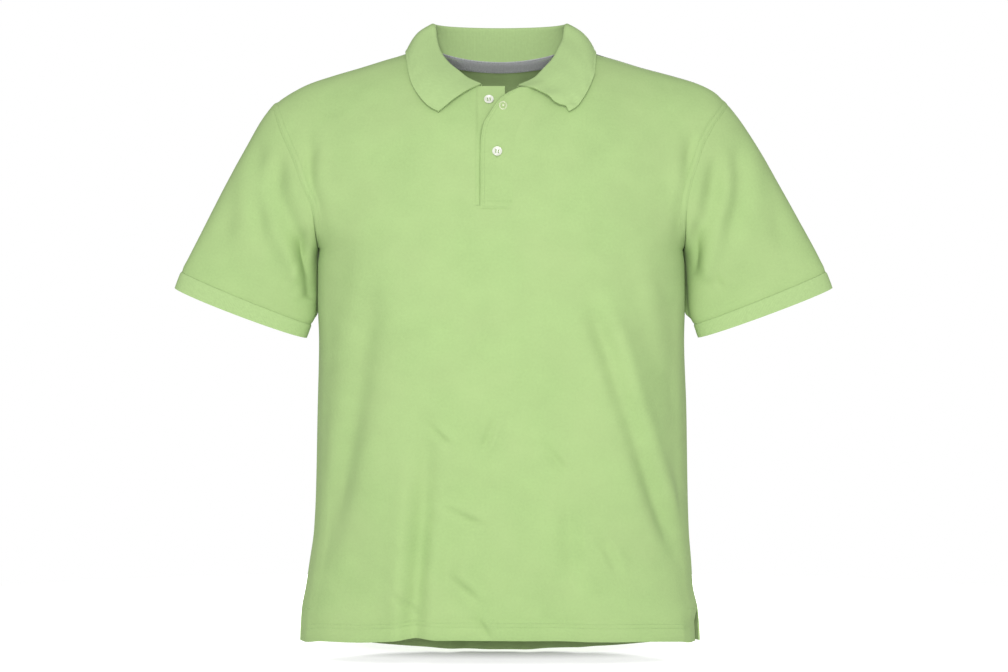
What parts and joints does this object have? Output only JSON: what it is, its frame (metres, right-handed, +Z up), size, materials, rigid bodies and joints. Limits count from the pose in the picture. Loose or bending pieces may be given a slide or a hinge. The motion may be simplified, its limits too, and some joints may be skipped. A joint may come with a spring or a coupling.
{
  "type": "polo shirt",
  "caption": "Short-sleeved pique polo shirt in its worn form, hollow, with a turned-down rib collar, an open neck placket, rib cuffs and side vents.",
  "frame": {"origin": "midway between the two points where the shoulder seams meet the collar, where the wearer's shoulders hold the shirt up", "axes": "+X to the wearer's left, +Y out of the back, +Z up out of the neck"},
  "size_m": [0.821, 0.246, 0.797],
  "materials": {
    "pique": "matt cotton pique",
    "rib": "matt flat-knit rib",
    "tape": "matt heather twill",
    "button": "pearly"
  },
  "bodies": {
    "root": {"front": "pique", "back": "pique", "sleeve_right": "pique", "sleeve_left": "pique", "placket_top": "pique", "placket_under": "pique", "collar": "rib", "cuff_right": "rib", "cuff_left": "rib", "neck_tape": "tape", "button_neck": "button", "button_lower": "button"}
  },
  "joints": []
}
